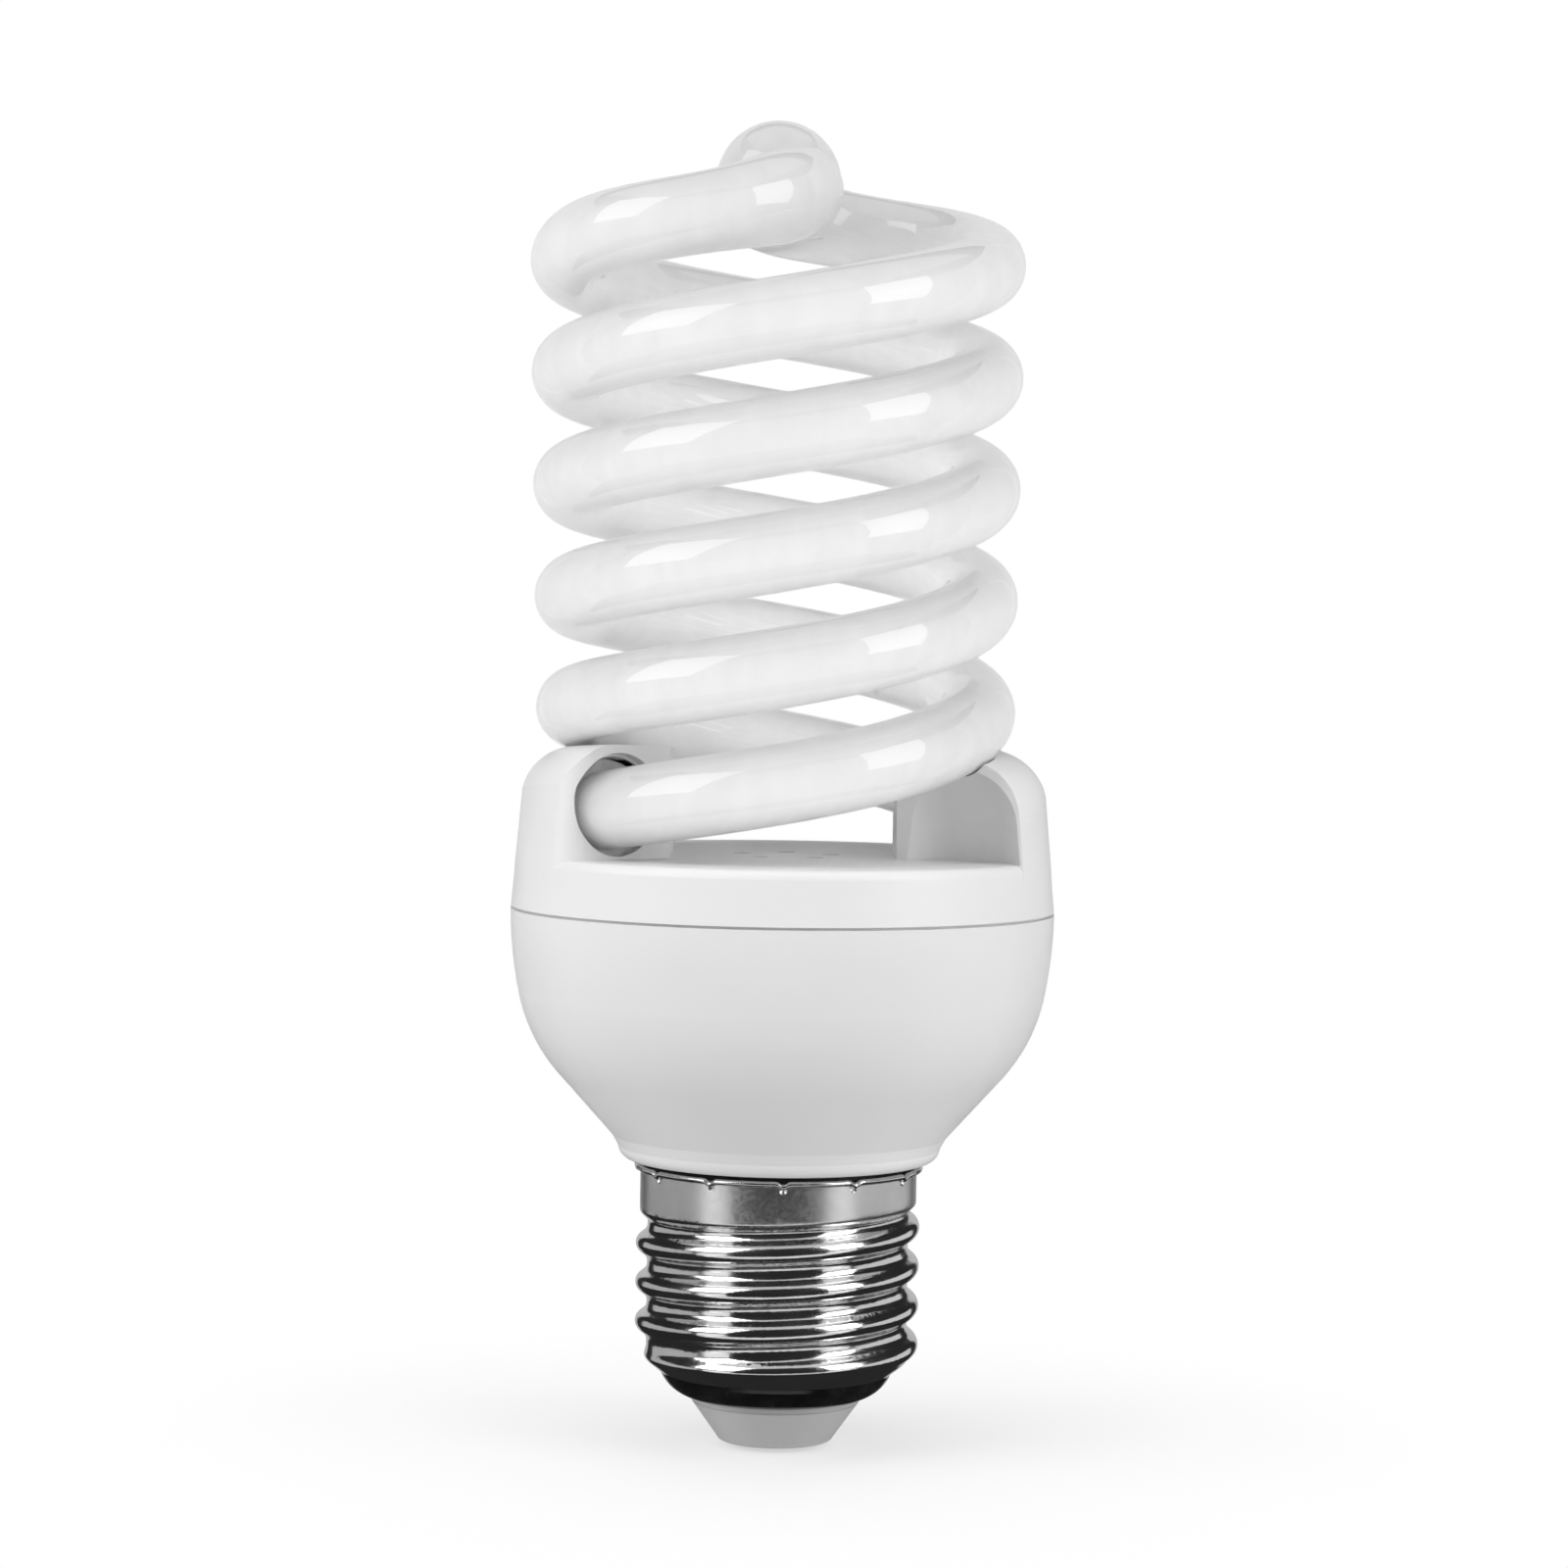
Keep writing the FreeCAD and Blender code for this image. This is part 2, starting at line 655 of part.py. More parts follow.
# smoothing capacitor, standing into the neck
can = cyl("can_body", 6.5, 21.0, -3.0, 0.0, 23.0)
bung = cyl("can_bung", 5.8, 0.8, -3.0, 0.0, 43.8)
groove = doc.addObject("Part::Torus", "can_groove")
bind(groove, "Radius1", cell("can_groove_ring", 6.75), "can")
bind(groove, "Radius2", cell("can_groove_round", 0.5), "can")
at(groove, -3.0, 0.0, 42.2)
can_cut = cut("can_grooved", can, groove)
node(fuse("electrolytic_capacitor", [can_cut, bung, leg("can", -5.5, 0.0, 44.0), leg("can", -0.5, 0.0, 44.0)]))

# choke: E core, bobbin and winding
core_blk = box("core_block", 12.0, 7.0, 11.0, 11.5, 0.0, 34.6)
win_a = box("core_window_a", 2.6, 7.4, 7.4, 8.5, 0.0, 36.4)
win_b = box("core_window_b", 2.6, 7.4, 7.4, 14.5, 0.0, 36.4)
wins = fuse("core_windows", [win_a, win_b])
node(cut("choke_core", core_blk, wins))
spool = fuse("spool_parts", [box("spool_tube", 4.4, 8.0, 7.4, 11.5, 0.0, 36.4),
                             box("spool_low", 8.4, 11.0, 0.7, 11.5, 0.0, 36.4),
                             box("spool_high", 8.4, 11.0, 0.7, 11.5, 0.0, 43.1),
                             leg("spool", 8.3, -4.8, 43.4), leg("spool", 14.7, -4.8, 43.4),
                             leg("spool", 8.3, 4.8, 43.4), leg("spool", 14.7, 4.8, 43.4)])
spool_hole = box("spool_hole", 3.44, 7.04, 7.8, 11.5, 0.0, 36.2)
node(cut("choke_bobbin", spool, spool_hole))
coil_blk = box("coil_block", 8.2, 10.6, 6.0, 11.5, 0.0, 37.1)
coil_hole = box("coil_hole", 4.42, 8.02, 6.4, 11.5, 0.0, 36.9)
node(cut("choke_winding", coil_blk, coil_hole))

# drive transformer
tor = cyl("toroid_block", 5.0, 4.0, -13.0, 9.0, 40.8)
tor_hole = cyl("toroid_hole", 2.6, 4.4, -13.0, 9.0, 40.6)
node(cut("toroid_core", tor, tor_hole))
loops = []
for i, (dx, dy) in enumerate(((3.8, 0.0), (0.0, 3.8), (-3.8, 0.0))):
    lx, ly = (3.4, 0.9) if dy == 0.0 else (0.9, 3.4)
    hx, hy = (2.6, 1.2) if dy == 0.0 else (1.2, 2.6)
    px, py = (-13.0 + dx, 9.0 + dy)
    w1 = box("loop_block_%d" % i, lx, ly, 5.0, px, py, 40.3)
    w2 = box("loop_hole_%d" % i, hx, hy, 4.06, px, py, 40.77)
    lp = cut("loop_%d" % i, w1, w2)
    ox, oy = (1.2, 0.0) if dy == 0.0 else (0.0, 1.2)
    loops.append(fuse("loop_wired_%d" % i, [lp, leg("loop", px - ox, py - oy, 45.0), leg("loop", px + ox, py + oy, 45.0)]))
node(group("toroid_windings", loops))

# switching transistors
for label, x, y in (("transistor_high_side", -9.0, -10.5), ("transistor_low_side", 3.0, -12.6)):
    slab = box(label + "_slab", 7.8, 2.8, 10.6, x, y, 34.4)
    hole = cyl(label + "_hole", 1.5, 3.2, x, y - 1.6, 37.2, "y")
    slab_cut = cut(label + "_drilled", slab, hole)
    node(fuse(label, [slab_cut] + [leg(label, x + d, y, 44.8) for d in (-2.5, 0.0, 2.5)]))

# film capacitors
node(fuse("starting_capacitor", [box("start_block", 5.0, 10.0, 9.0, -15.2, -2.2, 36.6),
                                 leg("start", -15.2, -5.9, 45.4), leg("start", -15.2, 1.5, 45.4)]))
node(fuse("blocking_capacitor", [box("block_block", 10.0, 5.0, 8.6, 0.5, 12.8, 37.0),
                                 leg("block", -3.2, 12.8, 45.4), leg("block", 4.2, 12.8, 45.4)]))

# filter inductor: drum with two flanges
node(fuse("filter_inductor", [cyl("drum_waist", 2.8, 6.0, 12.5, 10.8, 38.4), cyl("drum_low", 3.2, 1.0, 12.5, 10.8, 37.4),
                              cyl("drum_high", 3.2, 1.0, 12.5, 10.8, 44.4),
                              leg("drum", 10.6, 10.8, 45.2), leg("drum", 14.4, 10.8, 45.2)]))
# thermistor disc
node(fuse("thermistor", [cyl("disc_body", 3.2, 2.4, -5.5, 17.0, 42.1, "y"),
                         leg("disc", -7.0, 18.2, 44.4), leg("disc", -4.0, 18.2, 44.4)]))


def lying(stem, r, length, x, y, z, reach):
    """Small round part lying along X with a leg at each end."""
    body_ = cyl(stem + "_body", r, length, x - length / 2.0, y, z, "x")
    wire = cyl(stem + "_wire", 0.24, 2.0 * reach, x - reach, y, z, "x")
    return fuse(stem, [body_, wire, leg(stem, x - reach, y, z - 0.3), leg(stem, x + reach, y, z - 0.3)])


node(group("rectifier_diodes", [lying("diode_%d" % i, 1.3, 5.0, x, y, 44.2, 2.95) for i, (x, y) in
                                enumerate(((14.5, -9.3), (14.5, -12.4), (11.2, -15.6), (3.0, -17.6)), 1)]))
node(group("resistors", [lying("resistor_%d" % i, 0.9, 3.4, x, y, 44.8, 2.3) for i, (x, y) in
                         enumerate(((2.0, 18.4), (9.2, 16.6), (-12.0, -15.8), (-4.5, -16.2)), 1)]))
node(lying("trigger_diode", 0.9, 3.2, 0.0, -8.8, 44.8, 2.2))
# fusible resistor, standing
fr = [cyl("fusible_body", 1.6, 6.0, 17.2, 6.6, 38.9), cyl("fusible_foot", 0.35, 0.9, 17.2, 6.6, 38.1),
      cyl("fusible_link", 0.22, 2.8, 17.2, 6.6, 38.5, "y"), leg("fusible", 17.2, 6.6, 44.7), leg("fusible", 17.2, 9.4, 38.1)]
node(fuse("fusible_resistor", fr))

# pins that take the wires of the glass, and the pins' holes
PINS = [(18.2, -3.6), (19.8, -0.3), (-18.2, 3.6), (-19.8, 0.3)]
node(group("wire_wrap_pins", [box("pin_%d" % i, 0.8, 0.8, 6.4, x, y, 45.2) for i, (x, y) in enumerate(PINS)]))

# board, drilled for every leg, pin and lead
LEADS = [(6.5, -8.5), (8.5, 9.0)]
disc = cyl("board_disc", S("board_radius"), S("board_thick"), 0.0, 0.0, S("board_z"))
drills = []
for i, (x, y) in enumerate(LEGS):
    d = doc.addObject("Part::Cylinder", "drill_%02d" % i)
    d.setExpression("Radius", E("leg_hole"))
    d.setExpression("Height", "Sizes.board_thick + 1")
    d.setExpression("Placement.Base.x", E("leg_%02d_at_x" % (i + 1)))
    d.setExpression("Placement.Base.y", E("leg_%02d_at_y" % (i + 1)))
    d.setExpression("Placement.Base.z", "Sizes.board_z - 0.5")
    drills.append(d)
for i, (x, y) in enumerate(PINS + LEADS):
    drills.append(cyl("wide_drill_%d" % i, 0.62 if i < 4 else 0.75, 2.6, x, y, S("board_z") - 0.5))
node(cut("circuit_board", disc, fuse("board_drills", drills)))

doc.recompute()
# solder on the upper side of the board round every leg and pin
blobs = []
for x, y in LEGS:
    blob = Part.makeCone(S("solder_radius"), 0.45, S("solder_height"), V(x, y, BT))
    blobs.append(blob.cut(Part.makeCylinder(S("leg_radius"), 3.0, V(x, y, BT - 1.0))))
for x, y in PINS:
    blob = Part.makeCone(1.2, 0.75, 0.8, V(x, y, BT))
    blobs.append(blob.cut(Part.makeBox(0.8, 0.8, 3.0, V(x - 0.4, y - 0.4, BT - 1.0))))
node(feature("solder_joints", Part.makeCompound(blobs)))


# -------------------------------------------------------------- wires ----
def wire(points, r):
    """Round wire bent smoothly through points."""
    curve = Part.BSplineCurve()
    curve.interpolate(points)
    path = Part.Wire([curve.toShape()])
    t = curve.tangent(curve.FirstParameter)[0]
    disc_ = Part.Wire([Part.Circle(points[0], t, r).toShape()])
    solid = path.makePipeShell([disc_], True, False)
    return solid


zp = 51.6
lead_wires = []
for sgn in (1.0, -1.0):
    p, d = place_on(S("tube_end_angle"), 1 if sgn > 0 else 0)
    back = d * -1.0
    for (px, py), lift in zip(PINS[:2] if sgn > 0 else PINS[2:], (0.9, -0.9)):
        start = p + V(0, 0, lift)
        lead_wires.append(wire([start + back * 0.35, start + back * 0.9 - V(0, 0, 0.4),
                                V((start.x + px) / 2.0, start.y + back.y * 1.25, 53.4),
                                V(px, py, zp + 0.6), V(px, py, zp + 0.04)], 0.22))
node(feature("tube_lead_wires", Part.makeCompound(lead_wires)))
node(feature("live_lead", wire([V(6.5, -8.5, 47.5), V(6.5, -8.5, 42.0), V(6.9, -7.6, 34.0), V(6.0, -5.6, 26.0), V(3.0, -2.6, 18.0),
                                V(0.3, -0.3, 10.5), V(0, 0, 7.5), V(0, 0, 3.26)], 0.55)))
node(feature("neutral_lead", wire([V(8.5, 9.0, 47.5), V(8.5, 9.0, 42.0), V(8.0, 8.0, 34.0), V(5.4, 7.6, 27.0), V(2.4, 9.0, 22.5),
                                   V(0.4, 10.9, 20.6)], 0.5)))

# ------------------------------------------------- cement in the towers ----
sleeves = []
for which in (0, 1):
    a0 = -180.0 + S("hole_side_angle") - 19.0
    sleeves.append(run_of_tube(which, a0, a0 + 15.0, 4.6, 8))
cement = []
for slv in sleeves:
    body_ = slv.cut(glass).cut(cover)
    solids = sorted(body_.Solids, key=lambda q: -q.Volume)
    cement.append(solids[0])
node(feature("tube_cement", Part.makeCompound(cement)))

# --------------------------------------------------- check and write ----
doc.recompute()
bad = []
for o in doc.Objects:
    if "Invalid" in o.State or "Error" in o.State:
        bad.append((o.Name, "state " + str(o.State)))
seen = set()
for o in NODES:
    sh = o.Shape
    if sh is None or sh.isNull() or not sh.isValid() or not sh.Solids:
        bad.append((o.Label, "shape"))
    if o.Label in seen:
        bad.append((o.Label, "label used twice"))
    seen.add(o.Label)
for o in NODES:
    sh = o.Shape
    bb = sh.BoundBox
    print(o.Label, sh.isValid(), len(sh.Solids), round(sh.Volume, 1),
          [round(v, 2) for v in (bb.XMin, bb.YMin, bb.ZMin, bb.XMax, bb.YMax, bb.ZMax)])
if bad:
    raise SystemExit("not written: " + str(bad))
os.makedirs("parts", exist_ok=True)
for o in NODES:
    o.Shape.exportStep(os.path.join("parts", o.Label + ".step"))
print("written", len(NODES))
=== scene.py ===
import math

import bmesh
import bpy
import numpy as np
from mathutils import Matrix, Vector


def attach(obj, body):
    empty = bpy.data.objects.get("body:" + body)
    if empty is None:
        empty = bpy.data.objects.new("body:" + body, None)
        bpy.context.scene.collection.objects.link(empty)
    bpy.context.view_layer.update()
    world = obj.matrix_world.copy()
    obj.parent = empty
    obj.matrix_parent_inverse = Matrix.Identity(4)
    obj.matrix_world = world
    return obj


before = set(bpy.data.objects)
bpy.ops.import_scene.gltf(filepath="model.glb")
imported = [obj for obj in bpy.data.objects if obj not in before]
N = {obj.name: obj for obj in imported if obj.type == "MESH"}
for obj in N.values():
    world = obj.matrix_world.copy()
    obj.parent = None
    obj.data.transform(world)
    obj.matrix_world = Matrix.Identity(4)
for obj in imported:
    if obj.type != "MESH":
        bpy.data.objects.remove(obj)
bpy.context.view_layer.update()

scene = bpy.context.scene
scene.view_settings.view_transform = "Standard"
scene.view_settings.look = "None"

# ------------------------------------------------------------- camera ----
# The frame is square; the lens is worked out for 1600 x 1600.
PITCH, ROLL = 0.0426, 0.01483
cam = bpy.data.objects.new("camera", bpy.data.cameras.new("camera"))
scene.collection.objects.link(cam)
scene.camera = cam
cam.data.sensor_width = 36.0
cam.data.sensor_fit = "HORIZONTAL"
cam.data.lens = 4328.32 / 1600.0 * 36.0
cam.data.clip_start = 0.01
cam.data.clip_end = 60.0
ahead = Vector((0.0, math.cos(PITCH), -math.sin(PITCH)))
up = Vector((0.0, math.sin(PITCH), math.cos(PITCH)))
right = Vector((1.0, 0.0, 0.0))
r2 = right * math.cos(ROLL) + up * math.sin(ROLL)
u2 = -right * math.sin(ROLL) + up * math.cos(ROLL)
cam.matrix_world = Matrix.Translation((-0.0000238, -0.3896013, 0.0774445)) @ Matrix((r2, u2, -ahead)).transposed().to_4x4()


# ---------------------------------------------------------- materials ----
class Tree:
    """Short way to write a node tree."""

    def __init__(self, name):
        self.mat = bpy.data.materials.new(name)
        self.mat.use_nodes = True
        self.nt = self.mat.node_tree
        self.nt.nodes.clear()
        self.out = self.nt.nodes.new("ShaderNodeOutputMaterial")
        self.xyz = None

    def node(self, kind, **settings):
        n = self.nt.nodes.new(kind)
        for k, v in settings.items():
            setattr(n, k, v)
        return n

    def put(self, socket, value):
        if isinstance(value, bpy.types.NodeSocket):
            self.nt.links.new(value, socket)
        elif value is not None:
            socket.default_value = value

    def shader(self, **inputs):
        n = self.node("ShaderNodeBsdfPrincipled")
        for k, v in inputs.items():
            self.put(n.inputs[k.replace("_", " ")], v)
        return n

    def finish(self, shader):
        self.nt.links.new(shader.outputs[0], self.out.inputs["Surface"])
        return self.mat

    def place(self):
        if self.xyz is None:
            self.xyz = self.node("ShaderNodeTexCoord").outputs["Object"]
        return self.xyz

    def stretched(self, sx, sy, sz):
        m = self.node("ShaderNodeMapping")
        self.put(m.inputs["Vector"], self.place())
        m.inputs["Scale"].default_value = (sx, sy, sz)
        return m.outputs[0]

    def noise(self, scale, detail=3.0, rough=0.5, vector=None, warp=0.0):
        n = self.node("ShaderNodeTexNoise")
        self.put(n.inputs["Vector"], vector or self.place())
        n.inputs["Scale"].default_value = scale
        n.inputs["Detail"].default_value = detail
        n.inputs["Roughness"].default_value = rough
        n.inputs["Distortion"].default_value = warp
        return n.outputs["Fac"]

    def cells(self, scale, feature="F1", vector=None):
        n = self.node("ShaderNodeTexVoronoi", feature=feature)
        self.put(n.inputs["Vector"], vector or self.place())
        n.inputs["Scale"].default_value = scale
        return n.outputs["Distance"]

    def math(self, op, a, b=None, c=None, clamp=False):
        n = self.node("ShaderNodeMath", operation=op, use_clamp=clamp)
        self.put(n.inputs[0], a)
        if b is not None:
            self.put(n.inputs[1], b)
        if c is not None:
            self.put(n.inputs[2], c)
        return n.outputs[0]

    def band(self, value, a, b, lo=0.0, hi=1.0, smooth=True):
        n = self.node("ShaderNodeMapRange", interpolation_type="SMOOTHSTEP" if smooth else "LINEAR")
        self.put(n.inputs["Value"], value)
        n.inputs["From Min"].default_value = a
        n.inputs["From Max"].default_value = b
        n.inputs["To Min"].default_value = lo
        n.inputs["To Max"].default_value = hi
        return n.outputs["Result"]

    def mix(self, fac, a, b):
        n = self.node("ShaderNodeMix", data_type="RGBA")
        self.put(n.inputs[0], fac)
        for s, v in ((n.inputs[6], a), (n.inputs[7], b)):
            self.put(s, v if isinstance(v, bpy.types.NodeSocket) else (*v, 1.0))
        return n.outputs[2]

    def bump(self, height, strength, distance, normal=None):
        n = self.node("ShaderNodeBump")
        n.inputs["Strength"].default_value = strength
        n.inputs["Distance"].default_value = distance
        self.put(n.inputs["Height"], height)
        if normal is not None:
            self.put(n.inputs["Normal"], normal)
        return n.outputs[0]

    def axis(self, which):
        n = self.node("ShaderNodeSeparateXYZ")
        self.put(n.inputs[0], self.place())
        return n.outputs[which]

    def pointed(self, lo, hi):
        """0 to 1 on raised edges."""
        return self.band(self.node("ShaderNodeNewGeometry").outputs["Pointiness"], lo, hi)


def grey(v):
    return (v, v, v)


def moulded(name, light, dark, rough=0.42, grain=2600.0, grain_mm=0.012, painted_gap_shade_below=None):
    """Moulded plastic: faint flow marks, fine spark texture, handling marks; if a height is given, a painted
    shade, near black, below it.
    """
    t = Tree(name)
    flow = t.noise(38.0, 4.0, 0.55, warp=0.6)
    fine = t.noise(grain, 2.0, 0.6)
    smear = t.noise(160.0, 5.0, 0.62)
    colour = t.mix(t.band(flow, 0.3, 0.7), dark, light)
    # painted shade: below the given height the colour turns near black, standing in for the shadow in the gap
    # under the cap's rolled edge
    if painted_gap_shade_below:
        colour = t.mix(t.band(t.axis(2), painted_gap_shade_below - 0.00002, painted_gap_shade_below + 0.00002), grey(0.012), colour)
    rg = t.math("ADD", t.band(smear, 0.3, 0.75, rough - 0.06, rough + 0.07), t.math("MULTIPLY", fine, 0.05))
    nrm = t.bump(fine, 0.35, grain_mm * 0.001)
    nrm = t.bump(flow, 0.25, 0.00006, nrm)
    return t.finish(t.shader(Base_Color=colour, Roughness=rg, Normal=nrm, IOR=1.49))


def plain_piece(name, light, dark, rough, scale=700.0, metal=0.0, bump_mm=0.02, worn=None):
    """Small piece with mottled colour, uneven gloss and a fine surface."""
    t = Tree(name)
    a = t.noise(scale, 4.0, 0.6)
    b = t.noise(scale * 5.0, 2.0, 0.5)
    colour = t.mix(t.band(a, 0.32, 0.68), dark, light)
    if worn:
        colour = t.mix(t.pointed(0.52, 0.6), colour, worn)
    rg = t.band(a, 0.25, 0.75, max(rough - 0.08, 0.03), min(rough + 0.1, 1.0))
    nrm = t.bump(t.math("ADD", a, t.math("MULTIPLY", b, 0.4)), 0.4, bump_mm * 0.001)
    return t.finish(t.shader(Base_Color=colour, Roughness=rg, Normal=nrm, Metallic=metal))


def clear_glass():
    t = Tree("clear_tube_glass")
    wave = t.noise(90.0, 2.0, 0.4)
    draw = t.noise(1.0, 2.0, 0.5, vector=t.stretched(120.0, 120.0, 900.0))
    dust = t.band(t.cells(620.0), 0.035, 0.0)
    nrm = t.bump(wave, 0.15, 0.00003)
    nrm = t.bump(draw, 0.04, 0.000005, nrm)
    rg = t.math("ADD", t.band(t.noise(260.0, 4.0, 0.6), 0.5, 0.85, 0.0, 0.012), t.math("MULTIPLY", dust, 0.06))
    return t.finish(t.shader(Base_Color=(1.0, 1.0, 1.0, 1.0), Roughness=rg, Normal=nrm, IOR=1.5, Transmission_Weight=1.0))


def coating():
    """White powder on the inside of the glass: thin streaks and clouds."""
    t = Tree("white_powder")
    cloud = t.noise(110.0, 5.0, 0.6, warp=0.8)
    streak = t.noise(1.0, 3.0, 0.55, vector=t.stretched(520.0, 520.0, 60.0))
    fine = t.noise(5200.0, 2.0, 0.6)
    both = t.math("ADD", t.math("MULTIPLY", cloud, 0.6), t.math("MULTIPLY", streak, 0.4))
    colour = t.mix(t.band(both, 0.34, 0.66), grey(0.90), grey(0.95))
    nrm = t.bump(fine, 0.3, 0.00001)
    return t.finish(t.shader(Base_Color=colour, Roughness=t.band(cloud, 0.3, 0.7, 0.72, 0.86), Normal=nrm,
                             Subsurface_Weight=0.7, Subsurface_Radius=(1.0, 1.0, 1.0), Subsurface_Scale=0.006))


def cap_metal():
    """Rolled and plated sheet: bright on the thread, dull and grained on the plain band."""
    t = Tree("plated_cap")
    z = t.axis(2)
    on_band = t.band(z, 0.0212, 0.0221)
    rolled = t.noise(1.0, 3.0, 0.6, vector=t.stretched(90.0, 90.0, 5200.0))
    grain = t.noise(2600.0, 3.0, 0.65)
    tick = t.noise(1.0, 3.0, 0.7, vector=t.stretched(2400.0, 2400.0, 260.0))
    smear = t.noise(210.0, 4.0, 0.6)
    rough_thread = t.band(smear, 0.35, 0.75, 0.11, 0.18)
    rough_band = t.band(grain, 0.3, 0.7, 0.28, 0.37)
    rg = t.math("ADD", rough_thread, t.math("MULTIPLY", on_band, t.math("SUBTRACT", rough_band, rough_thread)))
    colour = t.mix(t.band(smear, 0.3, 0.7), grey(0.78), grey(0.86))
    nrm = t.bump(rolled, 0.14, 0.000008)
    nrm = t.bump(tick, 0.10, 0.000008, nrm)
    both = t.math("MULTIPLY", grain, on_band)
    nrm = t.bump(both, 0.3, 0.000012, nrm)
    return t.finish(t.shader(Base_Color=colour, Metallic=1.0, Roughness=rg, Normal=nrm))


def black_gloss():
    t = Tree("black_insulator")
    a = t.noise(420.0, 4.0, 0.6)
    b = t.noise(3200.0, 2.0, 0.5)
    colour = t.mix(t.band(a, 0.35, 0.7), grey(0.004), grey(0.012))
    rg = t.math("ADD", t.band(a, 0.4, 0.8, 0.12, 0.24), t.math("MULTIPLY", t.band(b, 0.62, 0.75), 0.15))
    nrm = t.bump(a, 0.3, 0.00003)
    return t.finish(t.shader(Base_Color=colour, Roughness=rg, Normal=nrm, IOR=1.5))


def laminate():
    """Board with printed tracks on the solder side seen as soft darker areas."""
    t = Tree("board_laminate")
    fibre = t.noise(1.0, 4.0, 0.6, vector=t.stretched(900.0, 120.0, 900.0))
    track = t.band(t.noise(170.0, 0.0, 0.5), 0.47, 0.5)
    base = t.mix(t.band(fibre, 0.3, 0.7), (0.40, 0.28, 0.12), (0.52, 0.38, 0.18))
    colour = t.mix(track, base, (0.06, 0.22, 0.09))
    nrm = t.bump(t.math("ADD", t.math("MULTIPLY", fibre, 0.3), track), 0.4, 0.00005)
    return t.finish(t.shader(Base_Color=colour, Roughness=t.band(fibre, 0.3, 0.7, 0.38, 0.55), Normal=nrm))


def wound():
    """Enamelled wire under tape."""
    t = Tree("winding_tape")
    n = t.node("ShaderNodeTexWave", wave_type="BANDS", bands_direction="Z", wave_profile="SIN")
    t.put(n.inputs["Vector"], t.place())
    n.inputs["Scale"].default_value = 420.0
    n.inputs["Distortion"].default_value = 0.4
    w = n.outputs["Fac"]
    a = t.noise(500.0, 4.0, 0.6)
    colour = t.mix(t.band(a, 0.3, 0.7), (0.72, 0.50, 0.05), (0.86, 0.64, 0.09))
    nrm = t.bump(w, 0.5, 0.00008)
    return t.finish(t.shader(Base_Color=colour, Roughness=t.band(a, 0.3, 0.7, 0.22, 0.38), Normal=nrm, IOR=1.55))


